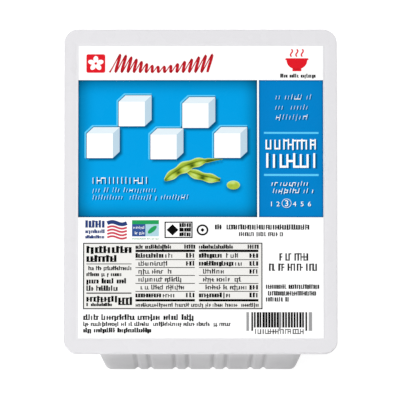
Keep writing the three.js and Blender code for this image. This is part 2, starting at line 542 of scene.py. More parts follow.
def lay_sheet_group():
    """Turns flat shapes into a thin closed sheet, whose top follows the film this far above it."""
    tree, given, result = new_tree(
        "GeometryNodeTree",
        "Lay Sheet",
        {"Geometry": "Geometry", "Lift": "Float", "Thickness": "Float"},
        {"Geometry": "Geometry"},
    )
    film_sizes = {
        "Mouth Half Width": MOUTH[0],
        "Mouth Half Length": MOUTH[1],
        "Swell": FILM_SWELL,
        "Ripple": FILM_RIPPLE,
        "Ripple Size": RIPPLE_SIZE,
        "Seal Half Width": SEAL_HALF_WIDTH,
        "Seal Half Length": SEAL_HALF_LENGTH,
        "Seal Middle": SEAL_MIDDLE,
        "Groove Half Width": SEAL_GROOVE_HALF_WIDTH,
        "Groove Depth": SEAL_GROOVE_DEPTH,
    }
    surface = add_node(tree, "GeometryNodeGroup", node_tree=film_surface)
    for name, size in film_sizes.items():
        surface.inputs[name].default_value = size
    top = maths(tree, "ADD", maths(tree, "ADD", surface.outputs["Height"], FILM_TOP), given["Lift"])
    underside = add_node(
        tree, "ShaderNodeCombineXYZ", {"Z": maths(tree, "SUBTRACT", top, given["Thickness"])}
    )
    laid = add_node(
        tree,
        "GeometryNodeSetPosition",
        {"Geometry": given["Geometry"], "Offset": underside.outputs[0]},
    ).outputs[0]
    upwards = add_node(tree, "ShaderNodeCombineXYZ", {"Z": given["Thickness"]}).outputs[0]
    raised = add_node(
        tree,
        "GeometryNodeExtrudeMesh",
        {"Mesh": laid, "Offset": upwards, "Offset Scale": 1.0, "Individual": False},
        mode="FACES",
    ).outputs["Mesh"]
    flipped = add_node(tree, "GeometryNodeFlipFaces", {"Mesh": laid}).outputs[0]
    both = add_node(tree, "GeometryNodeJoinGeometry")
    tree.links.new(raised, both.inputs[0])
    tree.links.new(flipped, both.inputs[0])
    closed = add_node(
        tree, "GeometryNodeMergeByDistance", {"Geometry": both.outputs[0], "Distance": 1e-3}
    )
    tree.links.new(closed.outputs[0], result["Geometry"])
    return tree


lay_sheet = lay_sheet_group()


def lay_film_tree():
    tree, given, result = new_tree(
        "GeometryNodeTree",
        "Lay Film",
        {"Geometry": "Geometry", "Thickness": "Float", "Material": "Material"},
        {"Geometry": "Geometry"},
    )
    sheet = add_node(tree, "GeometryNodeGroup", node_tree=lay_sheet)
    tree.links.new(given["Geometry"], sheet.inputs["Geometry"])
    tree.links.new(given["Thickness"], sheet.inputs["Thickness"])
    finish_tree(tree, sheet.outputs[0], given["Material"], result)
    return tree


def flat_film():
    """The cut film, lying flat, with fine lines where the seal's groove will be pressed."""
    art = bmesh.new()
    sides = (-FILM_HALF_WIDTH, FILM_HALF_WIDTH, -FILM_HALF_LENGTH, FILM_HALF_LENGTH)
    add_shape(art, rounded_outline(*sides, FILM_CORNER_RADIUS, steps=12))
    cut_into_cells(art)
    for axis, middle, seal in ((0, 0, SEAL_HALF_WIDTH), (1, SEAL_MIDDLE, SEAL_HALF_LENGTH)):
        for share in (-1, -0.5, 0, 0.5, 1):
            reach = seal + share * SEAL_GROOVE_HALF_WIDTH
            cut_across(art, axis, (middle + reach, middle - reach))
    mesh = bpy.data.meshes.new("flat_film")
    art.to_mesh(mesh)
    art.free()
    return mesh


FILM_COLOUR = screen_colour(230, 229, 232)
FILM_WEAR = {
    "Cloud Size": 34,
    "Clouding": 0.01,
    "Least Roughness": 0.24,
    "Most Roughness": 0.33,
    "Grain Size": 2.4,
}
FILM_GRAIN_DEPTH = 0.003
FILM_SHINE = 0.2


def clear_film():
    """Clear film over the white flange."""
    material, tree, shader = new_material("clear_lid_film")
    shader.inputs["Specular IOR Level"].default_value = FILM_SHINE
    handle(tree, shader, FILM_COLOUR[:3], FILM_GRAIN_DEPTH, FILM_WEAR)
    return material


film = shaped(
    "lid_film_sheet",
    flat_film(),
    lay_film_tree(),
    {"Thickness": FILM_THICKNESS, "Material": clear_film()},
)
smooth_but_for_edges(film)
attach(film, "root")
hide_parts("lid_film")

# ------------------------------------------------------------------------------------------------
# The white ground of the print. The film is printed in a few flat inks, one over the other, before
# it is sealed on. Each ink is its own thin layer, and this white one lies under all the others.

GROUND = (-51.85, 52.1, -66.45, 65.7)  # left, right, bottom, top, from the middle of the lid
INK_THICKNESS = 0.03
INK_STEP = 0.02  # from one layer of ink to the next
WHITE = (0.95, 0.95, 0.95, 1)


def join_rows(art, rows):
    """Fills in between rows of points, each from left to right as seen on the way to the next row."""
    for here, ahead in zip(rows, rows[1:]):
        for n in range(len(here) - 1):
            art.faces.new((here[n], here[n + 1], ahead[n + 1], ahead[n]))


def add_grid(art, left, right, bottom, top, cell=SHEET_CELL):
    """Adds a rectangle made of cells, which bends with the film."""
    columns = math.ceil((right - left) / cell)
    row_count = math.ceil((top - bottom) / cell)
    rows = []
    for row in range(row_count + 1):
        y = between(bottom, top, row / row_count)
        rows.append([art.verts.new((between(left, right, n / columns), y, 0)) for n in range(columns + 1)])
    join_rows(art, rows)


PLAIN_TYPE = {  # the manner of a line of type
    "step": 0.42,  # from one upright to the next, as a share of the height of the tall letters
    "weight": 0.5,  # how much of the step an upright takes
    "variety": 0.25,  # how uneven the uprights' widths are
    "ragged": 1,  # 1 where most are low, as small letters are, and 0 where all are tall
    "ties": 0.5,  # the share of uprights that each of two sets of bars ties to the next
    "gaps": 0.11,  # the share left out between words
    "slant": 0,
}
LINE_MANNERS = ("size", *PLAIN_TYPE)


def new_art():
    """An empty sheet for one ink: flat faces for shapes, and lone edges for lines of type."""
    art = bmesh.new()
    for name in LINE_MANNERS:
        art.verts.layers.float.new(name)
    return art


TALL_SHARE = 0.3
LOW_HEIGHT = 0.72  # of a tall upright
TAIL_SHARE = 0.1  # of the uprights reach below the line
TAIL = 0.22  # of a tall upright
TIE_HEIGHT = 0.15  # of a tall upright
TIE_SINK = 0.004  # keeps a tie's top just under the top of the uprights


def set_type_group():
    """Sets each lone edge as a line of small upright marks with gaps between words, like filler type."""
    tree, given, result = new_tree(
        "GeometryNodeTree",
        "Set Type",
        {"Geometry": "Geometry", "Seed": "Int"},
        {"Geometry": "Geometry"},
    )
    manner = {name: named(tree, name) for name in LINE_MANNERS}

    def draw(offset):
        """A fixed random number from 0 to 1 for each mark."""
        seed = maths(tree, "ADD", given["Seed"], offset)
        return add_node(tree, "FunctionNodeRandomValue", {"Seed": seed}, data_type="FLOAT").outputs[1]

    neighbours = add_node(tree, "GeometryNodeInputMeshEdgeNeighbors").outputs[0]
    lone = maths(tree, "LESS_THAN", neighbours, 0.5)
    lines = add_node(tree, "GeometryNodeMeshToCurve", {"Mesh": given["Geometry"], "Selection": lone})
    marks = add_node(
        tree,
        "GeometryNodeResampleCurve",
        {"Curve": lines.outputs[0], "Length": manner["step"]},
        mode="LENGTH",
    ).outputs[0]
    place = add_node(tree, "GeometryNodeInputPosition").outputs[0]
    foot = add_node(tree, "ShaderNodeSeparateXYZ", {0: place}).outputs["Y"]
    marks = add_node(
        tree,
        "GeometryNodeStoreNamedAttribute",
        {"Geometry": marks, "Name": "foot", "Value": foot},
        data_type="FLOAT",
        domain="POINT",
    ).outputs[0]
    unit = add_node(tree, "GeometryNodeMeshGrid", {"Vertices X": 2, "Vertices Y": 2}).outputs[0]
    unit = add_node(
        tree, "GeometryNodeTransform", {"Geometry": unit, "Translation": (0.5, 0.5, 0)}
    ).outputs[0]
    kept = maths(tree, "GREATER_THAN", draw(1), manner["gaps"])
    drawn = add_node(tree, "GeometryNodeJoinGeometry")

    def strike(selection, up, wide, tall, sink=0):
        """Puts one bar of this size at each selected mark, moved up from it and sunk into the print."""
        offset = add_node(tree, "ShaderNodeCombineXYZ", {"Y": up, "Z": -sink}).outputs[0]
        placed = add_node(tree, "GeometryNodeSetPosition", {"Geometry": marks, "Offset": offset}).outputs[0]
        size = add_node(tree, "ShaderNodeCombineXYZ", {"X": wide, "Y": tall, "Z": 1.0}).outputs[0]
        bars = add_node(
            tree,
            "GeometryNodeInstanceOnPoints",
            {"Points": placed, "Selection": selection, "Instance": unit, "Scale": size},
        )
        tree.links.new(bars.outputs[0], drawn.inputs[0])

    # The uprights, some tall, most as low as a small letter, and a few with a tail below the line
    ragged = manner["ragged"]
    lowered = maths(tree, "MULTIPLY", maths(tree, "GREATER_THAN", draw(2), TALL_SHARE), ragged)
    low = maths(tree, "SUBTRACT", 1, maths(tree, "MULTIPLY", lowered, 1 - LOW_HEIGHT))
    tailed = maths(tree, "MULTIPLY", maths(tree, "LESS_THAN", draw(3), TAIL_SHARE), ragged)
    tail = maths(tree, "MULTIPLY", maths(tree, "MULTIPLY", tailed, TAIL), manner["size"])
    tall = maths(tree, "ADD", maths(tree, "MULTIPLY", low, manner["size"]), tail)
    swing = maths(tree, "SUBTRACT", maths(tree, "MULTIPLY", draw(4), 2), 1)
    swung = maths(tree, "ADD", maths(tree, "MULTIPLY", swing, manner["variety"]), 1)
    inked = maths(tree, "MULTIPLY", manner["step"], manner["weight"])
    strike(kept, maths(tree, "MULTIPLY", tail, -1), maths(tree, "MULTIPLY", inked, swung), tall)
    # Two sets of bars that tie some uprights to the next, at the foot, the middle or the head
    last = add_node(tree, "GeometryNodeCurveEndpointSelection", {"Start Size": 0, "End Size": 1}).outputs[0]
    may_tie = maths(tree, "MULTIPLY", kept, maths(tree, "SUBTRACT", 1, last))
    tie_height = maths(tree, "MULTIPLY", manner["size"], TIE_HEIGHT)
    head = maths(tree, "SUBTRACT", 1, maths(tree, "MULTIPLY", ragged, 1 - LOW_HEIGHT))
    half_rise = maths(tree, "MULTIPLY", maths(tree, "SUBTRACT", head, TIE_HEIGHT), 0.5)
    for first_draw in (5, 7):
        tied = maths(tree, "MULTIPLY", maths(tree, "LESS_THAN", draw(first_draw), manner["ties"]), may_tie)
        level = maths(tree, "FLOOR", maths(tree, "MULTIPLY", draw(first_draw + 1), 3))
        rise = maths(tree, "MULTIPLY", maths(tree, "MULTIPLY", level, half_rise), manner["size"])
        strike(tied, rise, manner["step"], tie_height, TIE_SINK)
    real = add_node(tree, "GeometryNodeRealizeInstances", {"Geometry": drawn.outputs[0]}).outputs[0]
    above_foot = maths(tree, "SUBTRACT", foot, named(tree, "foot"))
    lean = add_node(
        tree, "ShaderNodeCombineXYZ", {"X": maths(tree, "MULTIPLY", above_foot, manner["slant"])}
    ).outputs[0]
    leaning = add_node(tree, "GeometryNodeSetPosition", {"Geometry": real, "Offset": lean})
    tree.links.new(leaning.outputs[0], result["Geometry"])
    return tree


def print_ink_tree():
    """Lays one ink on the film: its shapes and its lines of type."""
    tree, given, result = new_tree(
        "GeometryNodeTree",
        "Print Ink",
        {
            "Geometry": "Geometry",
            "Lift": "Float",
            "Thickness": "Float",
            "Seed": "Int",
            "Material": "Material",
        },
        {"Geometry": "Geometry"},
    )
    type_setting = add_node(tree, "GeometryNodeGroup", node_tree=set_type_group())
    tree.links.new(given["Geometry"], type_setting.inputs["Geometry"])
    tree.links.new(given["Seed"], type_setting.inputs["Seed"])
    neighbours = add_node(tree, "GeometryNodeInputMeshEdgeNeighbors").outputs[0]
    shapes = add_node(
        tree,
        "GeometryNodeDeleteGeometry",
        {"Geometry": given["Geometry"], "Selection": maths(tree, "LESS_THAN", neighbours, 0.5)},
        domain="EDGE",
    ).outputs[0]
    drawn = add_node(tree, "GeometryNodeJoinGeometry")
    tree.links.new(shapes, drawn.inputs[0])
    tree.links.new(type_setting.outputs[0], drawn.inputs[0])
    sheet = add_node(tree, "GeometryNodeGroup", node_tree=lay_sheet)
    tree.links.new(drawn.outputs[0], sheet.inputs["Geometry"])
    tree.links.new(given["Lift"], sheet.inputs["Lift"])
    tree.links.new(given["Thickness"], sheet.inputs["Thickness"])
    finish_tree(tree, sheet.outputs[0], given["Material"], result)
    return tree


print_ink = print_ink_tree()


def printed(name, art, ink, layer, seed=0):
    """Prints one sheet of art on the film, as the ink layer of this number."""
    cut_into_cells(art)
    mesh = bpy.data.meshes.new(name)
    art.to_mesh(mesh)
    art.free()
    settings = {
        "Lift": INK_STEP * (layer + 1),
        "Thickness": INK_STEP * (layer + 1) + INK_THICKNESS,
        "Seed": seed,
        "Material": ink,
    }
    piece = shaped(name, mesh, print_ink, settings)
    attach(piece, "root")
    return piece


INK_WEAR = {**FILM_WEAR, "Cloud Size": 26, "Clouding": 0.008}
INK_SHINE = 0.04


def new_ink(name):
    """An empty material with the shine of an ink, with its tree and its one shader."""
    material, tree, shader = new_material(name)
    shader.inputs["Specular IOR Level"].default_value = INK_SHINE
    return material, tree, shader


def flat_ink(name, colour):
    """An even ink under the gloss of the film."""
    material, tree, shader = new_ink(name)
    handle(tree, shader, colour[:3], FILM_GRAIN_DEPTH, INK_WEAR)
    return material


white_ink = flat_ink("white_ink", WHITE)
ground = new_art()
add_grid(ground, *GROUND)
printed("print_ground", ground, white_ink, layer=0)

# ------------------------------------------------------------------------------------------------
# The two blue panels. Flat bright blue inks with a printed shade round the inside of their edges,
# and on the large one the printed shadows of the dice and of the pods that lie over it.

LARGE_PANEL = (-52.02, 24.05, -11.95, 50.15)
SMALL_PANEL = (24.8, 52.1, -11.95, 50.15)
LARGE_PANEL_BLUE = screen_colour(2, 160, 229)
SMALL_PANEL_BLUE = screen_colour(3, 131, 204)
# A wide soft shade and a fine dark line: the light that each takes at the edge, and how far in it reaches
LARGE_PANEL_EDGE = {"Shade Depth": 0.41, "Shade Width": 4.1, "Line Depth": 0.5, "Line Width": 0.75}
SMALL_PANEL_EDGE = {"Shade Depth": 0.04, "Shade Width": 3.9, "Line Depth": 0.45, "Line Width": 0.55}
PANEL_CELL = 0.4  # fine enough for the printed shadows

DIE = 11.1  # the side of a die's front
DIE_BACK = (2.9, 2.9)  # how far to the right of its front, and above it, a die's back stands
FIRST_DIE_LEFT = -48.4
DIE_PITCH = 13.55
DIE_FEET = (14.8, 29.2, 14.2, 28.4, 14.8)

SHADOW_DEPTH = 0.72  # the light that a printed shadow takes
SHADOW_SHIFT = (1.0, -1.0)
SHADOW_BLUR = 0.95
POD_SHADOW_STRENGTH = 0.9  # of the dice's shadow
POD_SHADOW_SHIFT = (0.2, -1.1)
POD_SHADOW_BLUR = 1.3


def die_outline(left, foot):
    """The six outer corners of a die that shows its front, its right side and its top."""
    right, head = left + DIE, foot + DIE
    over, up = DIE_BACK
    near = [(left, foot), (right, foot), (right + over, foot + up)]
    return [*near, (right + over, head + up), (left + over, head + up), (left, head)]


DICE = [die_outline(FIRST_DIE_LEFT + n * DIE_PITCH, foot) for n, foot in enumerate(DIE_FEET)]


def distance_outside(x, y, outline):
    """How far a place is outside an outline that has no hollows, or less than 0 inside it."""
    distances = []
    for (start_x, start_y), (end_x, end_y) in zip(outline, (*outline[1:], outline[0])):
        run_x, run_y = end_x - start_x, end_y - start_y
        distances.append((run_y * (x - start_x) - run_x * (y - start_y)) / math.hypot(run_x, run_y))
    return max(distances)


def soft_step(distance, blur):
    """1 well inside a shadow's edge, 0 well outside it."""
    share = min(max(0.5 - distance / (2 * blur), 0), 1)
    return share * share * (3 - 2 * share)


PODS = (  # from the blunt end to the tip. The last of the "full" share of the length holds the last bean
    {"start": (-6.0, 9.0), "tip": (8.3, 4.9), "bow": -0.6, "half_width": 2.05, "beans": 2, "full": 1},
    {"start": (-15.4, 4.5), "tip": (9.4, 14.2), "bow": 2.7, "half_width": 2.3, "beans": 3, "full": 0.76},
)
POD_SWELL = 0.16  # of a pod's half width, over each bean
POD_TIP = 0.42  # of its half width, where the last bean's end runs out into the tip
POD_TIP_END = 0.12  # the half width of the very tip
BEAN = (13.9, 2.5, 2.8, 2.0)  # middle and half sizes


def pod_middle_line(pod, share):
    """A place on a pod's middle line, from its blunt end to its tip, and the way to its left there."""
    start, tip, bow = pod["start"], pod["tip"], pod["bow"]
    run = Vector(tip) - Vector(start)
    side = Vector((-run.y, run.x)).normalized()
    place = Vector(start) + run * share + side * bow * math.sin(math.pi * share)
    slope = run + side * bow * math.pi * math.cos(math.pi * share)
    return place, Vector((-slope.y, slope.x)).normalized()


def pod_half_width(pod, share):
    """Pods swell over each bean, and taper to a tip."""
    swell = 1 + POD_SWELL * math.cos(2 * math.pi * (pod["beans"] * share / pod["full"] - 0.5))
    if share > pod["full"]:
        taper = (share - pod["full"]) / (1 - pod["full"])
        return pod["half_width"] * POD_TIP * (1 - taper) ** 1.2 + POD_TIP_END
    body = math.sin(math.pi * share / pod["full"]) ** 0.4
    return pod["half_width"] * max(body * swell, POD_TIP * share / pod["full"])


def pod_discs(pod, count=18):
    """Discs that together fill a pod, as their middles and radii."""
    for n in range(count):
        share = (n + 0.5) / count
        place, _ = pod_middle_line(pod, share)
        yield place.x, place.y, pod_half_width(pod, share)


POD_DISCS = [disc for pod in PODS for disc in pod_discs(pod)]


def print_shade_at(x, y):
    """How dark the printed shadows are at a place on the large panel, from 0 to 1."""
    moved_x, moved_y = x - SHADOW_SHIFT[0], y - SHADOW_SHIFT[1]
    from_dice = min(distance_outside(moved_x, moved_y, die) for die in DICE)
    moved_x, moved_y = x - POD_SHADOW_SHIFT[0], y - POD_SHADOW_SHIFT[1]
    from_pods = min(math.hypot(moved_x - px, moved_y - py) - radius for px, py, radius in POD_DISCS)
    bean_x, bean_y, half_width, half_height = BEAN
    bean_share = math.hypot((moved_x - bean_x) / half_width, (moved_y - bean_y) / half_height)
    from_pods = min(from_pods, (bean_share - 1) * half_height)
    under_pods = POD_SHADOW_STRENGTH * soft_step(from_pods, POD_SHADOW_BLUR)
    return max(soft_step(from_dice, SHADOW_BLUR), under_pods)


def panel_edge_group():
    """How much light the printed shade round the inside of a panel leaves, from 0 to 1."""
    sides = ("Left", "Right", "Bottom", "Top")
    shades = ("Shade Depth", "Shade Width", "Line Depth", "Line Width")
    tree, given, result = new_tree(
        "ShaderNodeTree", "Panel Edge", dict.fromkeys((*sides, *shades), "Float"), {"Light": "Float"}
    )
    axes = add_node(tree, "ShaderNodeSeparateXYZ", {0: place_in_mm(tree)}).outputs
    light = 1
    for axis, low, high in (("X", "Left", "Right"), ("Y", "Bottom", "Top")):
        from_low = maths(tree, "SUBTRACT", axes[axis], given[low])
        from_high = maths(tree, "SUBTRACT", given[high], axes[axis])
        inside = maths(tree, "MINIMUM", from_low, from_high)
        for shade in ("Shade", "Line"):
            reach = maths(tree, "DIVIDE", inside, given[f"{shade} Width"])
            fall = maths(tree, "MULTIPLY", maths(tree, "MULTIPLY", reach, reach), -1)
            taken = maths(tree, "MULTIPLY", maths(tree, "EXPONENT", fall), given[f"{shade} Depth"])
            light = maths(tree, "MULTIPLY", light, maths(tree, "SUBTRACT", 1, taken))
    tree.links.new(light, result["Light"])
    return tree


panel_edge = panel_edge_group()


def panel_ink(name, panel, blue, edge_shade, has_shadows):
    """A blue that darkens towards the panel's edges, and under the printed shadows if it has any."""
    material, tree, shader = new_ink(name)
    edge = add_node(tree, "ShaderNodeGroup", node_tree=panel_edge)
    places = zip(("Left", "Right", "Bottom", "Top"), panel)
    for socket, value in (*places, *edge_shade.items()):
        edge.inputs[socket].default_value = value
    light = edge.outputs["Light"]
    if has_shadows:
        shadow = add_node(tree, "ShaderNodeAttribute", attribute_name="print_shade").outputs["Fac"]
        taken = maths(tree, "MULTIPLY", shadow, SHADOW_DEPTH)
        light = maths(tree, "MULTIPLY", light, maths(tree, "SUBTRACT", 1, taken))
    colour = add_node(tree, "ShaderNodeVectorMath", {0: blue[:3], "Scale": light}, operation="SCALE")
    handle(tree, shader, colour.outputs[0], FILM_GRAIN_DEPTH, INK_WEAR)
    return material


large_panel = new_art()
add_grid(large_panel, *LARGE_PANEL, cell=PANEL_CELL)
print_shade = large_panel.verts.layers.float.new("print_shade")
for point in large_panel.verts:
    point[print_shade] = print_shade_at(point.co.x, point.co.y)
large_blue = panel_ink("large_panel_blue", LARGE_PANEL, LARGE_PANEL_BLUE, LARGE_PANEL_EDGE, True)
printed("print_large_panel", large_panel, large_blue, layer=1)

small_panel = new_art()
add_grid(small_panel, *SMALL_PANEL)
small_blue = panel_ink("small_panel_blue", SMALL_PANEL, SMALL_PANEL_BLUE, SMALL_PANEL_EDGE, False)
printed("print_small_panel", small_panel, small_blue, layer=1)

# ------------------------------------------------------------------------------------------------
# The dice. Five plain white dice of tofu, tossed in a row across the panel, each with a fine dark
# line round it and a pale glint along its upper left, printed over the shadows in the panel.

WHITE_PRINT = (0.97, 0.97, 0.97, 1)
DIE_TOP = screen_colour(228, 241, 248)
DIE_SIDE = screen_colour(190, 214, 229)
PALE_BLUE = screen_colour(96, 206, 249)
DARK_BLUE = screen_colour(0, 92, 142)
DARK_LINE_WIDTH = 0.34
GLINT_WIDTH = 0.5
GLINT_SHIFT = (-0.4, 0.4)


def grown(outline, distance, steps=4):
    """An outline that has no hollows, moved outwards all round, with round corners."""
    places = []
    for before, here, after in zip((outline[-1], *outline), outline, (*outline[1:], outline[0])):
        facing, faces_next = (
            math.atan2(start[0] - end[0], end[1] - start[1])
            for start, end in ((before, here), (here, after))
        )
        turn = (faces_next - facing) % (2 * math.pi)
        for step in range(steps + 1):
            angle = facing + turn * step / steps
            places.append((here[0] + distance * math.cos(angle), here[1] + distance * math.sin(angle)))
    return places


pale_blue_ink = flat_ink("pale_blue_ink", PALE_BLUE)
dark_blue_ink = flat_ink("dark_blue_ink", DARK_BLUE)
white_print_ink = flat_ink("white_print_ink", WHITE_PRINT)

glints = new_art()
outlines = new_art()
die_fronts = new_art()
die_sides = new_art()
die_tops = new_art()
for die in DICE:
    add_shape(glints, [(x + GLINT_SHIFT[0], y + GLINT_SHIFT[1]) for x, y in grown(die, GLINT_WIDTH)])
    add_shape(outlines, grown(die, DARK_LINE_WIDTH))
    foot_left, foot_right, foot_back, head_back, head_back_left, head_left = die
    head_right = (foot_right[0], head_left[1])
    add_shape(die_fronts, (foot_left, foot_right, head_right, head_left))
    add_shape(die_sides, (foot_right, foot_back, head_back, head_right))
    add_shape(die_tops, (head_left, head_right, head_back, head_back_left))
printed("print_dice_glints", glints, pale_blue_ink, layer=2)
printed("print_dice_outlines", outlines, dark_blue_ink, layer=3)
printed("print_dice_fronts", die_fronts, white_print_ink, layer=4)
printed("print_dice_sides", die_sides, flat_ink("die_side_ink", DIE_SIDE), layer=4)
printed("print_dice_tops", die_tops, flat_ink("die_top_ink", DIE_TOP), layer=4)

# ------------------------------------------------------------------------------------------------
# The pods. Two soybean pods and a loose bean, printed in greens at the foot of the dice. The print
# goes from a dark crease through mottled greens to a pale rim, and is lighter over each bean.

POD_GREENS = (  # from the darkest to the lightest
    (0.0, screen_colour(52, 78, 16)),
    (0.36, screen_colour(140, 162, 44)),
    (0.64, screen_colour(182, 203, 72)),
    (1.0, screen_colour(214, 240, 158)),
)
MOTTLE_SIZE = 1.3
MOTTLE = 0.3
# Along the scale of greens: a pod's plain skin, what each bean under it adds, the glow over a bean,
# what the crease and the nips between beans take, and what the left and right rims add
POD_SKIN, POD_BULGE, POD_GLOW, POD_CREASE, POD_NIP, POD_RIMS = 0.44, 0.1, 0.3, 0.45, 0.45, (0.75, 0.4)
POD_RIM_START = 0.7  # of the way out from a pod's middle line
BEAN_SKIN, BEAN_GLOW, BEAN_RIM = 0.54, 0.3, 0.35
POD_CELLS_ALONG, POD_CELLS_ACROSS = 60, 12
BEAN_CELLS_ROUND, BEAN_CELLS_ACROSS = 28, 8


def hump(place, middle, width):
    """1 at the middle of a soft hump, falling off over this width to both sides."""
    return math.exp(-(((place - middle) / width) ** 2))


def pod_light(pod, share, side):
    """How light the print is, along a pod and from -1 on its right edge to 1 on its left."""
    swell = 0.5 - 0.5 * math.cos(2 * math.pi * pod["beans"] * min(share / pod["full"], 1))
    glow = POD_GLOW * swell * hump(side, -0.3, 0.5)
    crease = POD_CREASE * hump(side, 0.2, 0.15)
    nip = POD_NIP * (1 - swell) ** 3 * hump(side, -0.4, 0.5)
    left_rim, right_rim = POD_RIMS
    towards_rim = max(abs(side) - POD_RIM_START, 0) / (1 - POD_RIM_START)
    rim = towards_rim * (left_rim if side > 0 else right_rim)
    return min(max(POD_SKIN + POD_BULGE * swell + glow - crease - nip + rim, 0), 1)


def bean_light(across, up):
    """How light the print is on the bean, at these shares of its half sizes."""
    glow = BEAN_GLOW * hump(across, -0.1, 0.5) * hump(up, 0.5, 0.3)
    rim = BEAN_RIM * (across**2 + up**2) ** 3 * (1 + up)
    return BEAN_SKIN + glow + rim


def add_pod(art, pod):
    print_light = art.verts.layers.float["print_light"]
    rows = []
    for step in range(POD_CELLS_ALONG + 1):
        share = step / POD_CELLS_ALONG
        place, leftwards = pod_middle_line(pod, share)
        half_width = pod_half_width(pod, share)
        row = []
        for n in range(POD_CELLS_ACROSS + 1):
            side = 1 - 2 * n / POD_CELLS_ACROSS
            point = art.verts.new((*(place + leftwards * half_width * side), 0))
            point[print_light] = pod_light(pod, share, side)
            row.append(point)
        rows.append(row)
    join_rows(art, rows)


def add_bean(art, x, y, half_width, half_height):
    print_light = art.verts.layers.float["print_light"]
    rows = []
    for step in range(BEAN_CELLS_ROUND):
        turn = 2 * math.pi * step / BEAN_CELLS_ROUND
        row = []
        for n in range(1, BEAN_CELLS_ACROSS + 1):
            reach = n / BEAN_CELLS_ACROSS
            across, up = reach * math.cos(turn), reach * math.sin(turn)
            point = art.verts.new((x + half_width * across, y + half_height * up, 0))
            point[print_light] = bean_light(across, up)
            row.append(point)
        rows.append(row)
    join_rows(art, [*rows, rows[0]])
    art.faces.new([row[0] for row in rows])


def pod_ink():
    """Greens that follow the light of the print, mottled as a pod's skin is."""
    material, tree, shader = new_ink("pod_green_ink")
    noise = add_node(
        tree, "ShaderNodeTexNoise", {"Vector": place_in_mm(tree), "Scale": 1 / MOTTLE_SIZE, "Detail": 3.0}
    )
    light = add_node(tree, "ShaderNodeAttribute", attribute_name="print_light").outputs["Fac"]
    mottle = maths(tree, "MULTIPLY", maths(tree, "SUBTRACT", noise.outputs["Fac"], 0.5), MOTTLE)
    greens = add_node(tree, "ShaderNodeValToRGB", {"Fac": maths(tree, "ADD", light, mottle)})
    stops = greens.color_ramp.elements
    for place, _ in POD_GREENS[1:-1]:
        stops.new(place)
    for stop, (place, green) in zip(stops, POD_GREENS):
        stop.position = place
        stop.color = green
    handle(tree, shader, greens.outputs["Color"], FILM_GRAIN_DEPTH, INK_WEAR)
    return material


pod_greens = pod_ink()
for layer, (name, pod) in enumerate(zip(("lower", "upper"), PODS), start=5):
    pod_art = new_art()
    pod_art.verts.layers.float.new("print_light")
    add_pod(pod_art, pod)
    if name == "lower":
        add_bean(pod_art, *BEAN)
    printed(f"print_{name}_pod", pod_art, pod_greens, layer)

# ------------------------------------------------------------------------------------------------
# The white type on the panels, each line with a dark blue shadow to its lower right, and the scale
# of firmness: the plain numbers from 1 to 6, with a ring round one of them.

TYPE_SHADOW_SHIFT = (0.3, -0.32)
TYPE_SHADOW_SPREAD = 0.22  # added to the weight of the type
ITALIC = {"slant": 0.22, "step": 0.56, "weight": 0.11, "ties": 0.1}
BOLD_ITALIC = {"slant": 0.22, "step": 0.56, "weight": 0.2, "ties": 0.18}
CAPITALS = {"ragged": 0.25, "gaps": 0, "variety": 0.1}
PANEL_LINES = (  # left, right, foot, size and manner
    (-45.8, -22.9, 3.2, 3.0, {**CAPITALS, "step": 0.56, "weight": 0.14, "ties": 0.2}),
    (-45.8, -19.5, -0.6, 2.1, ITALIC),
    (-45.8, -5.8, -3.9, 2.1, ITALIC),
    (30.6, 46.5, 41.4, 2.3, ITALIC),
    (31.8, 45.1, 36.8, 2.3, ITALIC),
    (32.0, 45.0, 32.3, 2.3, ITALIC),
    (27.6, 49.0, 18.7, 4.7, {**CAPITALS, "step": 0.38, "weight": 0.33, "ties": 0.27}),
    (27.9, 48.7, 10.4, 6.6, {**CAPITALS, "step": 0.42, "weight": 0.3, "ties": 0.2}),
    (30.1, 45.2, 2.3, 2.1, BOLD_ITALIC),
    (29.5, 47.5, -1.0, 2.1, BOLD_ITALIC),
)
RULE_LEFT, RULE_RIGHT = 26.95, 50.15
PANEL_RULES = ((25.8, 26.6), (6.7, 7.6))  # bottom and top
SCALE_FOOT = -7.0
SCALE_HEIGHT = 2.1
SCALE_PLACES = (30.1, 32.9, 36.5, 39.9, 43.1, 46.2)
RINGED = 3
RINGED_HEIGHT = 2.7
RING_RADIUS = 2.05
RING_WIDTH = 0.17


def add_line(art, left, right, foot, size, **manner):
    """Adds one line of type, whose tall letters are this size. It is plain but for the manner given."""
    manner = {**PLAIN_TYPE, **manner, "size": size}
    manner["step"] *= size
    ends = [art.verts.new((x, foot, 0)) for x in (left, right - manner["weight"] * manner["step"])]
    for point in ends:
        for name, value in manner.items():
            point[art.verts.layers.float[name]] = value
    art.edges.new(ends)


def add_lines(art, lines):
    """Adds lines of type, each given by its left, right, foot, size and manner."""
    for left, right, foot, size, manner in lines:
        add_line(art, left, right, foot, size, **manner)


def add_ring(art, x, y, radius, width, steps=40):
    """Adds a ring. The radius is its outer one."""
    rows = []
    for step in range(steps):
        turn = 2 * math.pi * step / steps
        reaches = (radius - width, radius)
        rows.append([art.verts.new((x + r * math.cos(turn), y + r * math.sin(turn), 0)) for r in reaches])
    join_rows(art, [*rows, rows[0]])


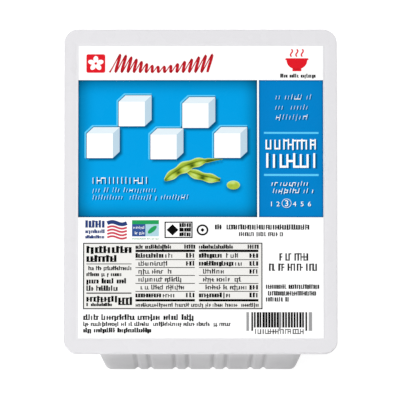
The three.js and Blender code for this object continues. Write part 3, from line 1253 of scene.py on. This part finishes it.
def add_numeral(art, numeral, x, foot, height):
    """Adds a plain number, centred on x and this tall."""
    text = bpy.data.curves.new("numeral", "FONT")
    text.body = str(numeral)
    written = bpy.data.objects.new("numeral", text)
    bpy.context.scene.collection.objects.link(written)
    mesh = bpy.data.meshes.new_from_object(written.evaluated_get(bpy.context.evaluated_depsgraph_get()))
    bpy.data.objects.remove(written)
    lows, highs = zip(*((min(places), max(places)) for places in zip(*(v.co for v in mesh.vertices))))
    scale = height / (highs[1] - lows[1])
    middle = Vector(((lows[0] + highs[0]) / 2, lows[1], 0))
    mesh.transform(Matrix.Translation((x, foot, 0)) @ Matrix.Scale(scale, 4) @ Matrix.Translation(-middle))
    art.from_mesh(mesh)
    bpy.data.meshes.remove(mesh)


def panel_type(art):
    """The lines of type on both panels, and the scale of firmness."""
    add_lines(art, PANEL_LINES)
    for numeral, x in enumerate(SCALE_PLACES, start=1):
        height = RINGED_HEIGHT if numeral == RINGED else SCALE_HEIGHT
        add_numeral(art, numeral, x, SCALE_FOOT, height)
    ring_x = SCALE_PLACES[RINGED - 1]
    add_ring(art, ring_x, SCALE_FOOT + RINGED_HEIGHT / 2, RING_RADIUS, RING_WIDTH)


type_shadows = new_art()
panel_type(type_shadows)
shadow_weight = type_shadows.verts.layers.float["weight"]
for point in type_shadows.verts:
    point[shadow_weight] += TYPE_SHADOW_SPREAD
bmesh.ops.translate(type_shadows, vec=(*TYPE_SHADOW_SHIFT, 0), verts=type_shadows.verts)
printed("print_panel_type_shadows", type_shadows, dark_blue_ink, layer=2, seed=11)

white_type = new_art()
panel_type(white_type)
printed("print_panel_type", white_type, white_print_ink, layer=3, seed=11)

rules = new_art()
for bottom, top in PANEL_RULES:
    add_grid(rules, RULE_LEFT, RULE_RIGHT, bottom, top)
printed("print_panel_rules", rules, pale_blue_ink, layer=2)

# ------------------------------------------------------------------------------------------------
# The head of the lid. Plain red ornaments on the white ground: a tile with a blossom left white in
# it, a long pen flourish, and a bowl under three curls of steam.

RED = screen_colour(226, 30, 42)
PEN_RED = screen_colour(190, 32, 42)
TILE = (-48.6, -40.6, 53.5, 61.9)
TILE_CORNER = 0.8
PETALS = 5
PETAL = (1.45, 1.05)  # half sizes
PETAL_REACH = 1.95  # from the middle of the blossom to the middle of a petal
FLOURISH_LEFT, FLOURISH_RIGHT = -38.8, 3.0
FLOURISH_FOOT = 53.7
SWINGS = 16
STEPS_PER_SWING = 16
LEAST_SWING, MOST_SWING = 2.6, 8.2  # in the middle and at the ends
FLOURISH_SLANT = 0.4
THIN_STROKE, THICK_STROKE = 0.45, 1.25
BOWL = (41.0, 55.0, 4.4, 4.2)  # middle, foot, half width and height
BOWL_RIM = (4.9, 0.9)  # half width and height
BOWL_RIM_CORNER = 0.3
BOWL_FOOT = (1.9, 0.8)
BOWL_FOOT_OVERLAP = 0.3  # of the foot's top with the bowl's round underside
STEAM_PITCH = 2.3
STEAM_GAP = 0.7  # above the bowl's rim
STEAM_HEIGHT = 3.4
STEAM_SWING = 0.4
STEAM_WIDTH = 0.6


def add_block(art, left, right, bottom, top, radius):
    add_shape(art, rounded_outline(left, right, bottom, top, radius))


def add_arc(art, x, y, half_width, half_height, turn=0, first=0.0, last=360.0, steps=28):
    """Adds an oval, or the part of one between two angles in degrees. The oval itself can be turned."""
    places = []
    for step in range(steps):
        angle = math.radians(between(first, last, step / (steps - (last - first < 360))))
        along, across = half_width * math.cos(angle), half_height * math.sin(angle)
        over = along * math.cos(turn) - across * math.sin(turn)
        up = along * math.sin(turn) + across * math.cos(turn)
        places.append((x + over, y + up))
    add_shape(art, places)


def add_ribbon(art, places, widths):
    """Adds a strip of varying width along a line of places."""
    rows = []
    for n, place in enumerate(places):
        run = (places[min(n + 1, len(places) - 1)] - places[max(n - 1, 0)]).normalized()
        leftwards = Vector((-run.y, run.x)) * widths[n] / 2
        rows.append([art.verts.new((*(place + leftwards * side), 0)) for side in (1, -1)])
    join_rows(art, rows)


def waving(start, end, swing, waves, steps=24):
    """Places along a line that waves to both sides of the straight way between its ends."""
    start, end = Vector(start), Vector(end)
    leftwards = Vector((start.y - end.y, end.x - start.x)).normalized()
    places = []
    for n in range(steps + 1):
        share = n / steps
        places.append(start.lerp(end, share) + leftwards * swing * math.sin(2 * math.pi * waves * share))
    return places


def add_flourish(art):
    """Adds the flourish: thin where the pen rises, thick where it falls."""
    places, widths = [], []
    steps = SWINGS * STEPS_PER_SWING
    for n in range(steps + 1):
        share = n / steps
        phase = 2 * math.pi * SWINGS * share
        swell = (1 + math.cos(2 * math.pi * share)) / 2
        rise = between(LEAST_SWING, MOST_SWING, swell) * (1 - math.cos(phase)) / 2
        x = between(FLOURISH_LEFT, FLOURISH_RIGHT, share) + FLOURISH_SLANT * rise
        places.append(Vector((x, FLOURISH_FOOT + rise)))
        widths.append(between(THIN_STROKE, THICK_STROKE, (1 - math.sin(phase)) / 2))
    add_ribbon(art, places, widths)


def add_bowl(art):
    x, foot, half_width, height = BOWL
    rim_half_width, rim_height = BOWL_RIM
    foot_half_width, foot_height = BOWL_FOOT
    brim = foot + height
    rim_top = brim + rim_height
    add_arc(art, x, brim, half_width, height, first=180, last=360)
    add_block(art, x - rim_half_width, x + rim_half_width, brim, rim_top, BOWL_RIM_CORNER)
    add_grid(
        art, x - foot_half_width, x + foot_half_width, foot - foot_height, foot + BOWL_FOOT_OVERLAP
    )
    for n in (-1, 0, 1):
        steam_x, steam_foot = x + n * STEAM_PITCH, rim_top + STEAM_GAP
        curl = waving((steam_x, steam_foot), (steam_x, steam_foot + STEAM_HEIGHT), STEAM_SWING, waves=1)
        add_ribbon(art, curl, [STEAM_WIDTH] * len(curl))


red_art = new_art()
add_block(red_art, *TILE, TILE_CORNER)
add_bowl(red_art)
printed("print_red_marks", red_art, flat_ink("red_ink", RED), layer=1)

blossom = new_art()
tile_x, tile_y = (TILE[0] + TILE[1]) / 2, (TILE[2] + TILE[3]) / 2
for petal in range(PETALS):
    turn = 2 * math.pi * (petal / PETALS + 0.25)
    petal_x, petal_y = tile_x + PETAL_REACH * math.cos(turn), tile_y + PETAL_REACH * math.sin(turn)
    add_arc(blossom, petal_x, petal_y, *PETAL, turn=turn)
printed("print_tile_blossom", blossom, white_print_ink, layer=2)

flourish = new_art()
add_flourish(flourish)
printed("print_red_flourish", flourish, flat_ink("pen_red_ink", PEN_RED), layer=1)

# ------------------------------------------------------------------------------------------------
# The row of small badges under the panels. Plain ornaments in the colours that packs carry: a waving
# banner, a tile in three fields with a leaf, a box with a diamond and bars, and a ring.

NAVY = screen_colour(44, 64, 120)
BANNER_RED = screen_colour(208, 74, 90)
TILE_PALE = screen_colour(176, 214, 226)
TILE_BLUE = screen_colour(54, 86, 150)
TILE_GREEN = screen_colour(40, 160, 92)
BLACK = screen_colour(10, 10, 10)
NAVY_LINES = (  # left, right, foot, size and manner, as all tables of lines
    (-48.9, -40.8, -16.6, 3.3, {**CAPITALS, "weight": 0.75}),
    (-48.9, -40.8, -19.1, 1.7, {"weight": 0.8, "gaps": 0}),
    (-48.9, -40.8, -21.5, 1.5, {"weight": 0.85, "gaps": 0}),
)
BANNER_LEFT, BANNER_RIGHT, BANNER_TOP = -39.6, -31.3, -14.6
BANNER_PITCH = 1.5  # from one stripe to the next
BANNER_STRIPE = 0.85
BANNER_SWING = 0.55
RED_STRIPES = 4
FIRST_RED_STRIPE = 1.3  # in pitches below the navy one, which is twice as wide
FIELDS_LEFT, FIELD_SPLIT, FIELDS_RIGHT = -29.1, -23.4, -17.7  # the blue field is left of the pale one
FIELDS_FOOT, FIELDS_HEAD = -20.6, -15.1
GREEN_FIELD_HEAD = -13.3
LEAF = (-20.5, -17.6, 2.4, 1.0)  # middle and half sizes
LEAF_TURN = math.radians(42)
TILE_CAPTION = (-29.0, -17.8, -22.0, 0.75, {"weight": 0.3})
TILE_LINES = [(-28.5, -24.0, foot, 1.3, {"weight": 0.35}) for foot in (-17.2, -19.7)]
BOX = (-15.3, -3.4, -21.4, -14.0)
BOX_LINE = 0.5
BOX_TYPE = {"step": 0.5, "weight": 0.92, "gaps": 0, "ragged": 0.2, "ties": 0.9}
BOX_LINES = [(-9.0, -4.1, foot, 1.8, BOX_TYPE) for foot in (-16.4, -18.5, -20.6)]
DIAMOND = (-11.9, -17.7, 2.5)  # middle and half size
RING_MARK = (0.8, -17.75, 2.5, 0.75)  # middle, outer radius and width
RING_MARK_HEART = (0.8, -17.75, 0.9)  # a small diamond


def add_frame(art, left, right, bottom, top, width):
    """Adds the four sides of a rectangular frame. The places are its outer ones."""
    add_grid(art, left, right, top - width, top)
    add_grid(art, left, right, bottom, bottom + width)
    for low, high in ((left, left + width), (right - width, right)):
        add_grid(art, low, high, bottom + width, top - width)


def add_diamond(art, x, y, half_size):
    add_arc(art, x, y, half_size, half_size, steps=4)


def add_stripe(art, row, width):
    """Adds a waving stripe of the banner, counted from its top."""
    level = BANNER_TOP - BANNER_PITCH * row
    line = waving((BANNER_LEFT, level), (BANNER_RIGHT, level), BANNER_SWING, 1)
    add_ribbon(art, line, [width] * len(line))


black_ink = flat_ink("black_ink", BLACK)

navy_art = new_art()
add_lines(navy_art, NAVY_LINES)
add_stripe(navy_art, 0, 2 * BANNER_STRIPE)
printed("print_badge_navy", navy_art, flat_ink("navy_ink", NAVY), layer=1, seed=21)

banner = new_art()
for row in range(RED_STRIPES):
    add_stripe(banner, FIRST_RED_STRIPE + row, BANNER_STRIPE)
printed("print_badge_banner", banner, flat_ink("banner_red_ink", BANNER_RED), layer=1)

tile_blue = new_art()
add_grid(tile_blue, FIELDS_LEFT, FIELD_SPLIT, FIELDS_FOOT, FIELDS_HEAD)
printed("print_badge_blue", tile_blue, flat_ink("tile_blue_ink", TILE_BLUE), layer=1)

tile_pale = new_art()
add_grid(tile_pale, FIELD_SPLIT, FIELDS_RIGHT, FIELDS_FOOT, FIELDS_HEAD)
printed("print_badge_pale", tile_pale, flat_ink("tile_pale_ink", TILE_PALE), layer=1)

tile_green = new_art()
add_grid(tile_green, FIELDS_LEFT, FIELDS_RIGHT, FIELDS_HEAD, GREEN_FIELD_HEAD)
add_arc(tile_green, *LEAF, turn=LEAF_TURN)
add_lines(tile_green, [TILE_CAPTION])
printed("print_badge_green", tile_green, flat_ink("tile_green_ink", TILE_GREEN), layer=2, seed=22)

badge_type = new_art()
add_lines(badge_type, TILE_LINES)
printed("print_badge_type", badge_type, white_print_ink, layer=2, seed=23)

black_badges = new_art()
add_frame(black_badges, *BOX, BOX_LINE)
add_diamond(black_badges, *DIAMOND)
add_lines(black_badges, BOX_LINES)
add_ring(black_badges, *RING_MARK)
add_diamond(black_badges, *RING_MARK_HEART)
printed("print_badge_black", black_badges, black_ink, layer=2, seed=24)

# ------------------------------------------------------------------------------------------------
# The facts box. A framed table on a faintly warm ground: heavy bars, fine rules at an even pitch,
# and filler type in its three columns.

FACTS_BOX = (-49.82, 26.22, -53.37, -23.46)
FACTS_GROUND = screen_colour(240, 239, 236)
FACTS_LINE = 0.44
HEADING_LEFT, HEADING_RIGHT = -48.4, -29.3
FACTS_COLUMNS = ((-27.6, -2.4), (-0.7, 24.5))  # left and right
FACTS_BARS = ((-27.7, -26.6), (-49.9, -48.85))  # bottom and top
FIRST_RULE = -31.12
ROW_PITCH = 3.56
FINE_RULE = 0.32
HEADING_RULES = ((-33.0, FINE_RULE), (-46.14, 0.5))  # each with its thickness
ROW_SIZE = 2.15
ROW_FOOT = 0.85  # above the rule under the row
# Each column's rows, in shares of its width: where the heavy type starts, where the light type
# starts and ends, and whether there is a figure at the right
ROWS = (
    (
        (0, 0.5, 0.62, True),
        (0.05, 0.05, 0.53, True),
        (0.05, 0.05, 0.6, False),
        (0.05, 0.05, 0.77, False),
        (0.05, 0.05, 0.82, False),
        (0, 0.46, 0.65, True),
    ),
    (
        (0, 0.42, 0.66, True),
        (0, 0.61, 0.72, True),
        (0.07, 0.07, 0.42, True),
        (0.07, 0.07, 0.73, False),
        (0.11, 0.11, 0.8, True),
        (0, 0.41, 0.52, True),
    ),
)
WORD_GAP = 0.03
LIGHT_ROW_TYPE = {"weight": 0.48}
HEAVY_ROW_TYPE = {"step": 0.48, "weight": 0.8, "ragged": 0.7, "ties": 0.8, "gaps": 0}
FIGURE = (0.85, 0.99)
FIGURE_TYPE = {"step": 0.5, "weight": 0.68, "ragged": 0.3, "ties": 0.6, "gaps": 0}
COLUMN_HEADING_FOOT = -26.2
COLUMN_HEADING_SIZE = 1.9
COLUMN_HEADINGS = ((0, 0.6, {"weight": 0.75, "gaps": 0.04}), (0.82, 1, FIGURE_TYPE))
HEAVY_TYPE = {"step": 0.52, "weight": 0.7, "variety": 0.1, "ragged": 0.6, "ties": 0.6, "gaps": 0.05}
HEADING_LINES = (
    (HEADING_LEFT, HEADING_RIGHT, -28.1, 3.2, HEAVY_TYPE),
    (HEADING_LEFT, -35.6, -32.1, 3.1, HEAVY_TYPE),
    (HEADING_LEFT, HEADING_RIGHT, -35.8, 1.9, {"weight": 0.62}),
    (HEADING_LEFT, -33.5, -38.5, 1.8, {"weight": 0.78}),
    (HEADING_LEFT, -31.6, -41.8, 2.4, {"weight": 0.76}),
    (HEADING_LEFT, -35.2, -45.1, 2.4, {"weight": 0.7}),
    (HEADING_LEFT, -35.4, -50.0, 2.6, HEAVY_TYPE),
    (HEADING_LEFT, -37.5, -52.0, 1.5, {"weight": 0.85, "gaps": 0.04}),
    (-34.9, -29.0, -51.5, 3.6, {**CAPITALS, "weight": 0.7, "ties": 0.9}),
)
FACTS_FOOT_LINE = (-27.5, 24.5, -52.3, 1.8, {"weight": 0.54})


def add_rule(art, left, right, y, thickness):
    add_grid(art, left, right, y - thickness / 2, y + thickness / 2)


def facts_heading(art):
    """The box's first column: its heading, and pairs of lines between rules."""
    add_lines(art, HEADING_LINES)
    for y, thickness in HEADING_RULES:
        add_rule(art, HEADING_LEFT, HEADING_RIGHT, y, thickness)


def facts_column(art, left, right, rows):
    """One of the box's other columns: its headings between bars, and its rows over fine rules."""

    def add_part(start, end, foot, size, manner):
        """Adds a line of type between two shares of the column's width."""
        add_line(art, between(left, right, start), between(left, right, end), foot, size, **manner)

    for bottom, top in FACTS_BARS:
        add_grid(art, left, right, bottom, top)
    for start, end, manner in COLUMN_HEADINGS:
        add_part(start, end, COLUMN_HEADING_FOOT, COLUMN_HEADING_SIZE, manner)
    for row, (heavy_start, light_start, light_end, has_figure) in enumerate(rows):
        rule = FIRST_RULE - ROW_PITCH * row
        if row < len(rows) - 1:
            add_rule(art, left, right, rule, FINE_RULE)
        add_part(light_start, light_end, rule + ROW_FOOT, ROW_SIZE, LIGHT_ROW_TYPE)
        if light_start > heavy_start:
            add_part(heavy_start, light_start - WORD_GAP, rule + ROW_FOOT, ROW_SIZE, HEAVY_ROW_TYPE)
        if has_figure:
            add_part(*FIGURE, rule + ROW_FOOT, ROW_SIZE, FIGURE_TYPE)


facts_ground = new_art()
add_grid(facts_ground, *FACTS_BOX)
printed("print_facts_ground", facts_ground, flat_ink("facts_ground_ink", FACTS_GROUND), layer=1)

facts = new_art()
add_frame(facts, *FACTS_BOX, FACTS_LINE)
facts_heading(facts)
for (left, right), rows in zip(FACTS_COLUMNS, ROWS):
    facts_column(facts, left, right, rows)
add_lines(facts, [FACTS_FOOT_LINE])
printed("print_facts", facts, black_ink, layer=2, seed=31)

# ------------------------------------------------------------------------------------------------
# The black type on the white ground, and the bar code: filler lines beside and under the facts box,
# and upright bars of uneven width, with filler type in place of a number.

BAR_CODE = (22.6, 43.9, -61.6, -54.7)
BAR_TYPE = {"step": 0.165, "weight": 0.8, "variety": 0.2, "ragged": 0, "gaps": 0.02, "ties": 0}
BLACK_GUARDS = ((21.5, 22.2), (44.4, 45.1))  # left and right
GREY_GUARDS = ((19.4, 20.5), (33.1, 33.9), (45.8, 47.2))
GUARD_REACH = 1.5  # of the guards below the bars
GREY = screen_colour(160, 160, 161)
SMALL_PRINT = {"weight": 0.7, "ragged": 0.3}
BAR_NUMBER = (23.1, 43.6, -64.5, 2.3, {"step": 0.45, "weight": 0.36, "ragged": 0.2})
BLACK_LINES = (
    (33.9, 48.8, 51.3, 1.8, {"weight": 0.77}),
    (6.1, 46.0, -17.5, 2.3, {"weight": 0.65, "ragged": 0.3}),
    (16.3, 34.9, -20.5, 1.9, {"weight": 0.57, "ragged": 0.3}),
    (33.4, 45.5, -31.5, 3.4, {"step": 0.37, "weight": 0.47, "ragged": 0.1}),
    (29.0, 49.3, -36.1, 3.3, {"step": 0.38, "weight": 0.51, "ragged": 0.1}),
    (27.7, 50.1, -44.2, 2.0, SMALL_PRINT),
    (27.7, 48.8, -47.2, 2.0, SMALL_PRINT),
    (27.7, 37.4, -49.9, 2.0, SMALL_PRINT),
    (-49.7, -3.0, -58.2, 2.6, {"weight": 0.62}),
    (-49.7, 14.0, -60.9, 1.9, {"weight": 0.57}),
    (-49.7, -21.0, -63.8, 2.1, {"weight": 0.8}),
    BAR_NUMBER,
)

black_type = new_art()
add_lines(black_type, BLACK_LINES)
printed("print_black_type", black_type, black_ink, layer=1, seed=41)

bars = new_art()
left, right, bottom, top = BAR_CODE
add_line(bars, left, right, bottom, top - bottom, **BAR_TYPE)
for guard_left, guard_right in BLACK_GUARDS:
    add_grid(bars, guard_left, guard_right, bottom - GUARD_REACH, top)
printed("print_bar_code", bars, black_ink, layer=1, seed=42)

guards = new_art()
for guard_left, guard_right in GREY_GUARDS:
    add_grid(guards, guard_left, guard_right, bottom - GUARD_REACH, top)
printed("print_bar_guards", guards, flat_ink("grey_ink", GREY), layer=2)

# ------------------------------------------------------------------------------------------------
# The studio. A pale floor, soft area lights and a long lens, well above the pack.

IMAGE_WIDTH_PX = 400
FLANGE_WIDTH_PX = 273.17
LENS = 1600
SENSOR = 36
TILT = math.radians(20)  # of the view from square on to the lid
AIM_RIGHT_PX = -0.585  # from the middle of the lid to the middle of the frame
AIM_UP_PX = -9.12

mm_per_px = 2 * FLANGE[0] / FLANGE_WIDTH_PX
camera_distance = LENS / SENSOR * IMAGE_WIDTH_PX * mm_per_px
view_back = Vector((0, -math.sin(TILT), math.cos(TILT)))
view_up = Vector((0, math.cos(TILT), math.sin(TILT)))
view_right = Vector((1, 0, 0))
lid_middle = Vector((0, 0, FILM_TOP))
aim = lid_middle + (view_right * AIM_RIGHT_PX + view_up * AIM_UP_PX) * mm_per_px

camera_data = bpy.data.cameras.new("camera")
camera_data.lens = LENS
camera_data.sensor_width = SENSOR
camera_data.clip_start = 0.1
camera_data.clip_end = 50
camera = bpy.data.objects.new("camera", camera_data)
camera.location = (aim + view_back * camera_distance) * MM
camera.rotation_euler = (TILT, 0, 0)
bpy.context.scene.collection.objects.link(camera)
bpy.context.scene.camera = camera

FLOOR_HALF = 3  # metres
FLOOR_GREY = 0.25
FLOOR_GLOW = 0.9  # lifts it to the white of a paper ground

floor_mesh = bpy.data.meshes.new("floor")
corners = [(-FLOOR_HALF, -FLOOR_HALF, 0), (FLOOR_HALF, -FLOOR_HALF, 0), (FLOOR_HALF, FLOOR_HALF, 0)]
floor_mesh.from_pydata([*corners, (-FLOOR_HALF, FLOOR_HALF, 0)], [], [(0, 1, 2, 3)])
floor = bpy.data.objects.new("floor", floor_mesh)
bpy.context.scene.collection.objects.link(floor)
floor_paint, _, floor_shader = new_material("studio_floor")
floor_shader.inputs["Base Color"].default_value = (FLOOR_GREY, FLOOR_GREY, FLOOR_GREY, 1)
floor_shader.inputs["Roughness"].default_value = 0.9
floor_shader.inputs["Specular IOR Level"].default_value = 0.1
floor_shader.inputs["Emission Color"].default_value = (1, 1, 1, 1)
floor_shader.inputs["Emission Strength"].default_value = FLOOR_GLOW
floor_mesh.materials.append(floor_paint)


def soft_light(name, place, size, power):
    """A square area light, in metres and watts, that looks at the pack and isn't seen itself."""
    data = bpy.data.lights.new(name, "AREA")
    data.size = size
    data.energy = power
    light = bpy.data.objects.new(name, data)
    light.location = place
    light.rotation_euler = Vector(place).to_track_quat("Z", "Y").to_euler()
    light.visible_camera = False
    bpy.context.scene.collection.objects.link(light)


soft_light("key", (-0.94, -0.17, 2.1), 1.2, 45.5)
soft_light("fill", (0.6, -0.3, 2.1), 1.2, 12.6)
soft_light("grazing", (-1.6, -0.9, 0.25), 0.5, 10.0)

ROOM_LIGHT = 0.12  # that the white room sheds on the pack, where the camera sees it as pure white

world = bpy.data.worlds.new("studio")
world.use_nodes = True
background = world.node_tree.nodes["Background"]
background.inputs["Color"].default_value = (1, 1, 1, 1)
seen = add_node(world.node_tree, "ShaderNodeLightPath").outputs["Is Camera Ray"]
strength = add_node(
    world.node_tree, "ShaderNodeMapRange", {"Value": seen, "To Min": ROOM_LIGHT, "To Max": 1.0}
)
world.node_tree.links.new(strength.outputs["Result"], background.inputs["Strength"])
bpy.context.scene.world = world
bpy.context.scene.view_settings.view_transform = "Standard"
